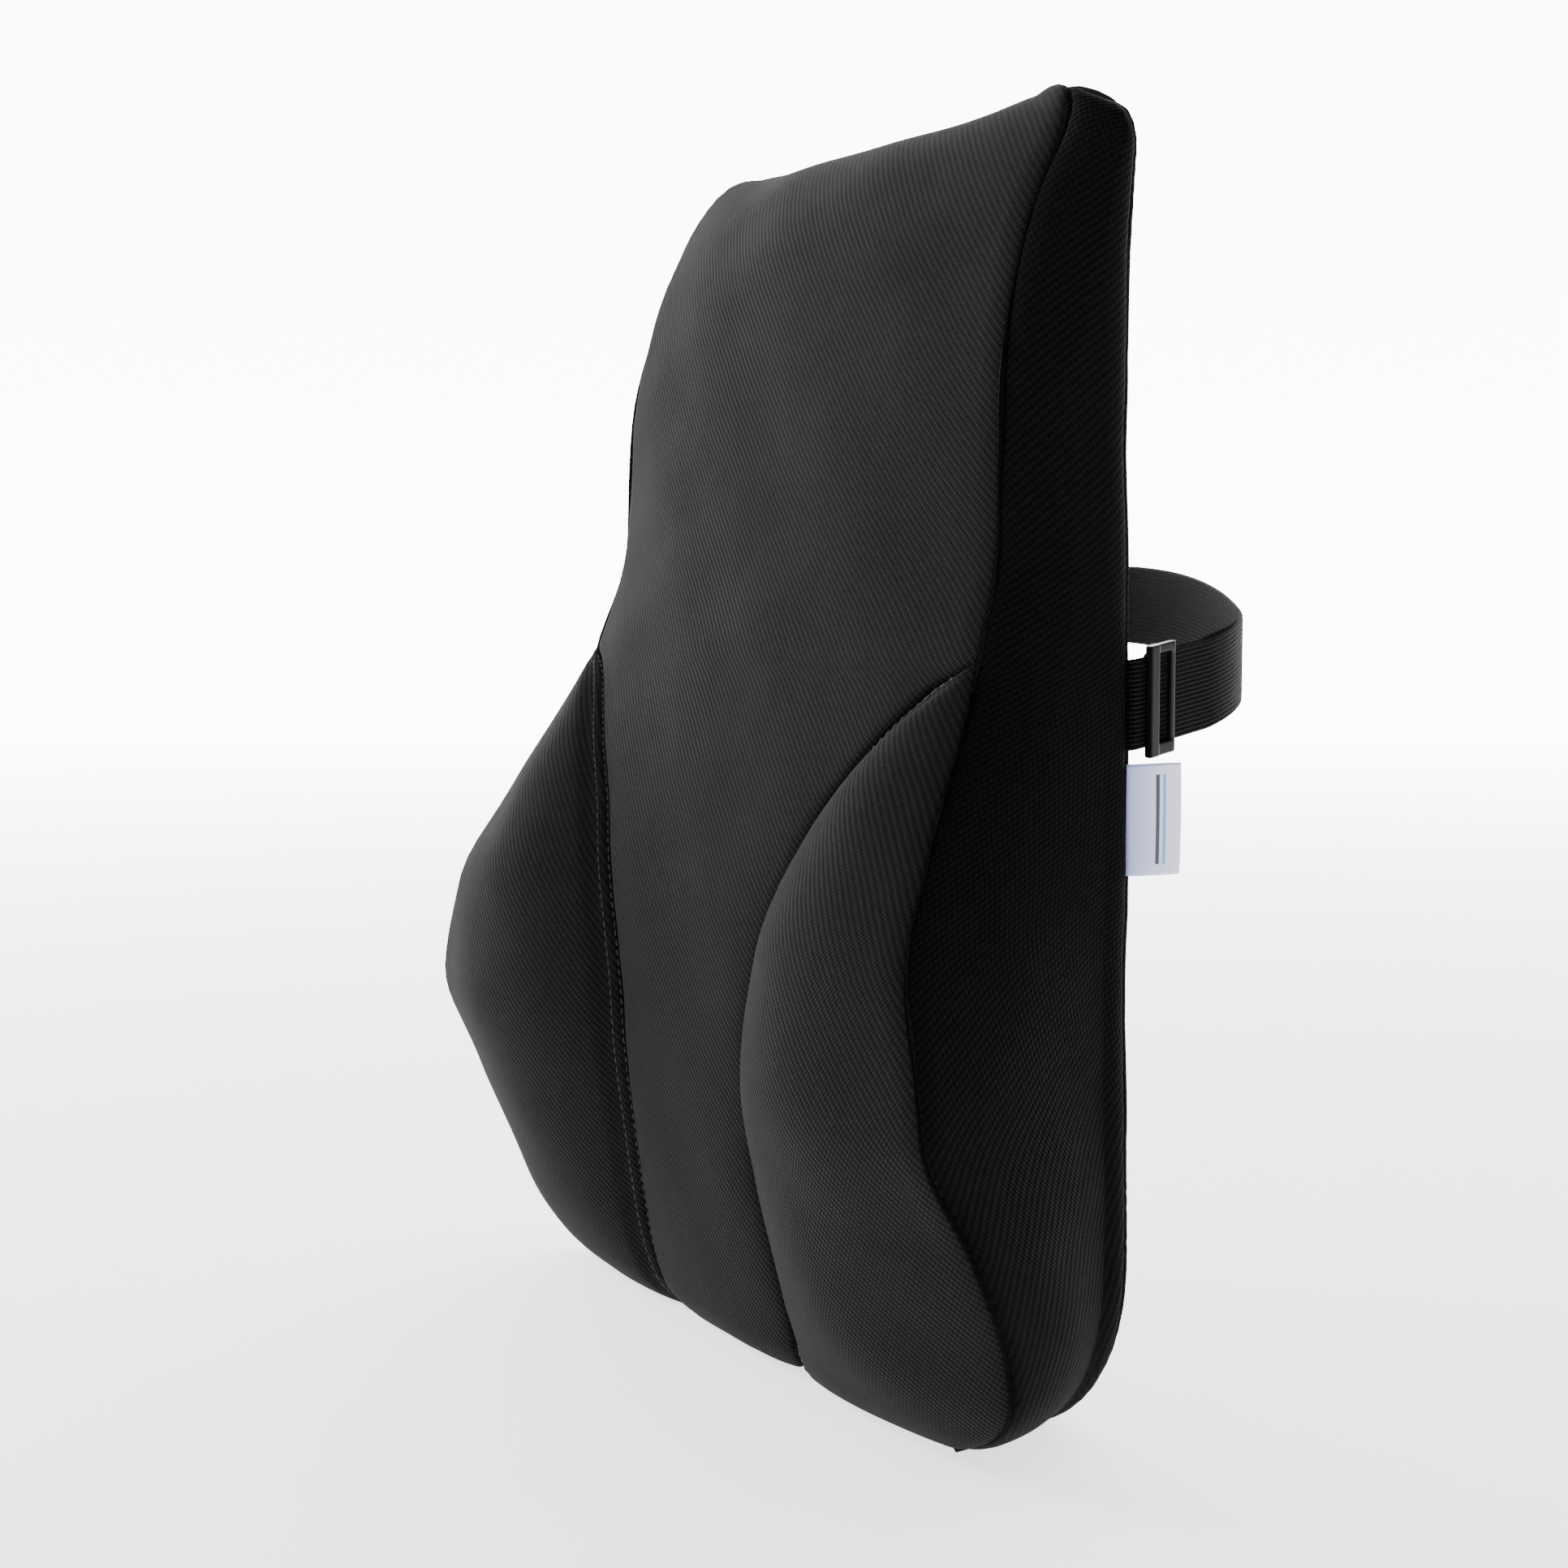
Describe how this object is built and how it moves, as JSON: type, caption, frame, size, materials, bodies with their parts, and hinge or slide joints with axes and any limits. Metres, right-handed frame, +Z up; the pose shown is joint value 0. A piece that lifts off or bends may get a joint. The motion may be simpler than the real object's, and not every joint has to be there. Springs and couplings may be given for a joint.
{
  "type": "lumbar support cushion",
  "caption": "Contoured foam back cushion with raised side wings, a zipped knit cover and an adjustable elastic strap that loops round a chair back.",
  "frame": {"origin": "on the floor, at the middle of the flat base that the cushion stands on", "axes": "+Z up; the contoured front that a sitter leans on faces -Y; the flat back, with its zip and strap, faces +Y; +X is to the right when looking along +Y"},
  "size_m": [0.4056, 0.2193, 0.45],
  "materials": {
    "foam": "open-cell polyurethane memory foam, pale cream",
    "liner": "thin white knitted fire-barrier liner",
    "knit_front": "charcoal air-mesh knit, matt, fine bird's-eye rows",
    "knit_side": "near-black air-mesh knit, matt",
    "zip_tape": "black woven zip tape",
    "zip_coil": "black nylon coil",
    "zip_metal": "black painted zinc",
    "elastic": "black elastic webbing, ribbed lengthwise",
    "buckle": "black moulded acetal, satin",
    "label": "pale lavender woven satin with plain stripes"
  },
  "bodies": {
    "root": {"foam_core": "foam", "liner_front": "liner", "liner_back": "liner", "cover_front_centre": "knit_front", "cover_wing_left": "knit_front", "cover_wing_right": "knit_front", "cover_side_left": "knit_side", "cover_side_right": "knit_side", "cover_back_upper": "knit_side", "cover_back_lower": "knit_side", "cover_base": "knit_side", "zip_tape_upper": "zip_tape", "zip_tape_lower": "zip_tape", "zip_coil_upper": "zip_coil", "zip_coil_lower": "zip_coil", "zip_stop_left": "zip_metal", "zip_stop_right": "zip_metal"},
    "strap": {"strap_webbing": "elastic", "strap_inner_layer": "elastic"},
    "slide": {"strap_slide": "buckle"},
    "label": {"side_label": "label"},
    "slider": {"zip_slider": "zip_metal"},
    "pull": {"zip_pull": "zip_metal"}
  },
  "joints": [
    {"name": "strap_swing", "type": "hinge", "parent": "root", "child": "strap", "pos_m": [0, 0.0385, 0.2456], "axis": [1, 0, 0], "range_deg": [-8, 18]},
    {"name": "slide_travel", "type": "slide", "parent": "strap", "child": "slide", "axis": [-0.256, 0.9552, 0.1483], "range_m": [0, 0.02]},
    {"name": "label_flap", "type": "hinge", "parent": "root", "child": "label", "pos_m": [0.155, 0.038, 0.206], "axis": [0, 0, 1], "range_deg": [-75, 30]},
    {"name": "zip_travel", "type": "slide", "parent": "root", "child": "slider", "axis": [1, 0, 0], "range_m": [-0.252, 0]},
    {"name": "pull_flip", "type": "hinge", "parent": "slider", "child": "pull", "pos_m": [0.126, 0.0463, 0.07], "axis": [0, 0, 1], "range_deg": [-165, 0]}
  ]
}
